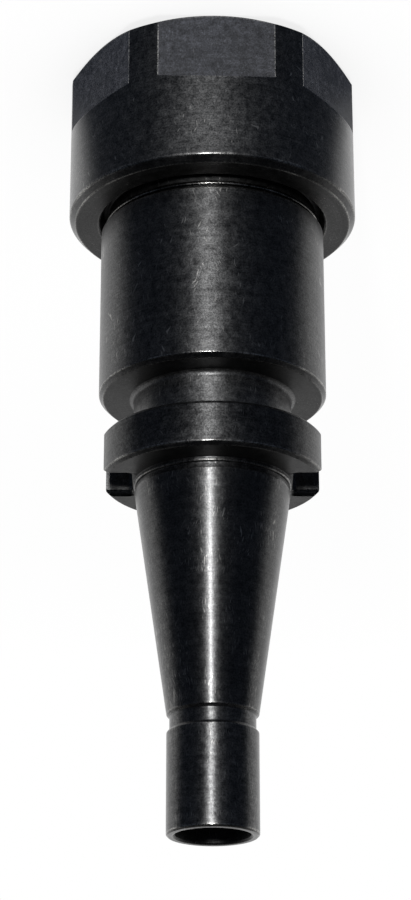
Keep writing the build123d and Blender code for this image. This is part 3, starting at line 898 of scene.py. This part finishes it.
class CHUCK_OT_stage(bpy.types.Operator):
    """Set the floor, the lamps, the even light and the camera."""

    bl_idname = "chuck.stage"
    bl_label = "Stage"

    def execute(self, context):
        studio = settings()[3]
        scene = context.scene
        self.lay_floor(scene, studio)
        self.light_world(scene, studio)
        strip_place = (studio.strip_side, STRIP_DEPTH, STRIP_HEIGHT)
        self.hang_lamp(scene, "Strip lamp", strip_place, STRIP_AIM, STRIP_SIZE, studio.strip_power)
        top = self.hang_lamp(scene, "Top lamp", TOP_PLACE, TOP_AIM, TOP_SIZE, studio.top_power)
        top.visible_glossy = False
        self.place_camera(scene, studio)
        scene.view_settings.view_transform = "Standard"
        return {"FINISHED"}

    def lay_floor(self, scene, studio):
        """A wide pale disc, which lights the object as pale paint and glows for the camera and in the steel.

        In the steel it is white behind the object and has the room's colour on the camera's side. The camera sees
        a white glow, but near the object only four parts of it to one of the lit paint, which keeps the shadow.
        """
        edge = np.linspace(0, 2 * pi, FLOOR_SIDES, endpoint=False)
        ring = np.stack([FLOOR_R * np.cos(edge), FLOOR_R * np.sin(edge), 0 * edge], 1)
        mesh = bpy.data.meshes.new("floor")
        mesh.from_pydata(ring.tolist(), [], [list(range(FLOOR_SIDES))])
        floor = bpy.data.objects.new("floor", mesh)
        scene.collection.objects.link(floor)
        material = bpy.data.materials.new("Pale floor")
        material.use_nodes = True
        tree = material.node_tree
        tree.nodes.clear()
        seen, mirrored = self.rays(tree)
        place = tree.nodes.new("ShaderNodeNewGeometry").outputs["Position"]
        distance = vector_arithmetic(tree, "LENGTH", i0=place)["Value"]
        lifted = arithmetic(tree, "MULTIPLY", seen, ramp(tree, distance, 0.15, 0.6, 0.8, 1.0))
        share = arithmetic(tree, "MAXIMUM", lifted, mirrored)
        white = arithmetic(tree, "MAXIMUM", seen, self.seen_behind(tree, place))
        colour = blend_colour(tree, white, studio.room_colour, WHITE)
        paint = link_nodes(tree, "ShaderNodeBsdfDiffuse", Color=PALE_PAINT).outputs[0]
        glow = link_nodes(tree, "ShaderNodeEmission", Color=colour).outputs[0]
        mixed = link_nodes(tree, "ShaderNodeMixShader", i0=share, i1=paint, i2=glow).outputs[0]
        link_nodes(tree, "ShaderNodeOutputMaterial", Surface=mixed)
        mesh.materials.append(material)

    def light_world(self, scene, studio):
        """A room that is white for the camera, and an even light of the strength called fill on the object.

        In the steel it is white behind the object, has the room's colour on the camera's side, and dims to a
        fifth overhead, as the way to it climbs from 0.3 to 0.6 of its length.
        """
        world = bpy.data.worlds.new("Studio")
        world.use_nodes = True
        tree = world.node_tree
        tree.nodes.clear()
        seen, mirrored = self.rays(tree)
        way = tree.nodes.new("ShaderNodeNewGeometry").outputs["Position"]
        climb = link_nodes(tree, "ShaderNodeSeparateXYZ", Vector=way).outputs["Z"]
        strength = arithmetic(tree, "MULTIPLY", mirrored, ramp(tree, climb, 0.3, 0.6, 1.0, 0.2))
        strength = arithmetic(tree, "MAXIMUM", strength, seen)
        strength = arithmetic(tree, "MAXIMUM", strength, ramp(tree, mirrored, 0, 1, studio.fill, 0))
        unseen = arithmetic(tree, "SUBTRACT", 1.0, mirrored)
        white = arithmetic(tree, "MAXIMUM", unseen, self.seen_behind(tree, way))
        colour = blend_colour(tree, white, studio.room_colour, WHITE)
        light = link_nodes(tree, "ShaderNodeBackground", Color=colour, Strength=strength).outputs[0]
        link_nodes(tree, "ShaderNodeOutputWorld", Surface=light)
        scene.world = world

    def rays(self, tree):
        """Two values: 1 for a ray from the camera, and 1 for a ray that metal or glass sends on."""
        ray = tree.nodes.new("ShaderNodeLightPath").outputs
        return ray["Is Camera Ray"], arithmetic(tree, "MAXIMUM", ray["Is Glossy Ray"], ray["Is Transmission Ray"])

    def seen_behind(self, tree, place):
        """How white the room looks in the steel: fully behind the object, not at all on the camera's side.

        It follows the sine of the bearing about the axis, the depth over the distance from the axis.
        """
        level = vector_arithmetic(tree, "MULTIPLY", i0=place, i1=LEVEL)[0]
        bearing = vector_arithmetic(tree, "NORMALIZE", i0=level)[0]
        depth = link_nodes(tree, "ShaderNodeSeparateXYZ", Vector=bearing).outputs["Y"]
        return ramp(tree, depth, 0.0, 0.35)

    def hang_lamp(self, scene, name, place, aim, size, power):
        """A rectangular lamp at a place, turned to its aim."""
        data = bpy.data.lights.new(name, "AREA")
        data.shape = "RECTANGLE"
        data.size, data.size_y = size
        data.energy = power
        lamp = bpy.data.objects.new(name, data)
        lamp.location = place
        lamp.rotation_mode = "QUATERNION"
        lamp.rotation_quaternion = (Vector(aim) - Vector(place)).to_track_quat("-Z", "Y")
        lamp.visible_camera = False
        scene.collection.objects.link(lamp)
        return lamp

    def place_camera(self, scene, studio):
        """Looks down at the tail's side, rolled half a turn so that the nut is at the top of the picture."""
        data = bpy.data.cameras.new("Camera")
        data.lens = studio.lens
        data.clip_start, data.clip_end = 0.05, 50
        camera = bpy.data.objects.new("Camera", data)
        camera.location = (0, -studio.camera_distance, studio.camera_height)
        aim = Vector((studio.aim_side, 0, studio.aim_height))
        upright = (aim - camera.location).to_track_quat("-Z", "Y")
        camera.rotation_mode = "QUATERNION"
        camera.rotation_quaternion = upright @ Quaternion((0, 0, 1), pi)
        scene.collection.objects.link(camera)
        scene.camera = camera


class CHUCK_PT_panel(bpy.types.Panel):
    """Lists the operators and their settings."""

    bl_idname = "CHUCK_PT_panel"
    bl_label = "Collet Chuck Holder"
    bl_space_type = "VIEW_3D"
    bl_region_type = "UI"
    bl_category = "Chuck"

    def draw(self, context):
        for operator in OPERATORS:
            self.layout.operator(operator.bl_idname)
        for group, pointer in GROUPS:
            box = self.layout.box()
            box.label(text=group.__doc__)
            for name in group.__annotations__:
                box.prop(getattr(context.scene, pointer), name)


OPERATORS = (CHUCK_OT_holder_body, CHUCK_OT_clamping_nut, CHUCK_OT_inner_parts, CHUCK_OT_stage)
GROUPS = (
    (ShankSizes, "chuck_shank"),
    (NutSizes, "chuck_nut"),
    (SteelFinish, "chuck_finish"),
    (StudioSettings, "chuck_studio"),
)


def register():
    """Registers the groups, which the scene then holds, the operators and the panel."""
    for group, pointer in GROUPS:
        bpy.utils.register_class(group)
        setattr(bpy.types.Scene, pointer, PointerProperty(type=group))
    for operator in OPERATORS:
        bpy.utils.register_class(operator)
    bpy.utils.register_class(CHUCK_PT_panel)


def unregister():
    """Takes back what register did, in reverse."""
    bpy.utils.unregister_class(CHUCK_PT_panel)
    for operator in reversed(OPERATORS):
        bpy.utils.unregister_class(operator)
    for group, pointer in reversed(GROUPS):
        delattr(bpy.types.Scene, pointer)
        bpy.utils.unregister_class(group)


def main():
    """Registers, dresses the holder piece by piece, and sets the stage."""
    register()
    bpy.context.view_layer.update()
    bpy.ops.chuck.holder_body()
    bpy.ops.chuck.clamping_nut()
    bpy.ops.chuck.inner_parts()
    bpy.ops.chuck.stage()


if __name__ == "__main__":
    main()
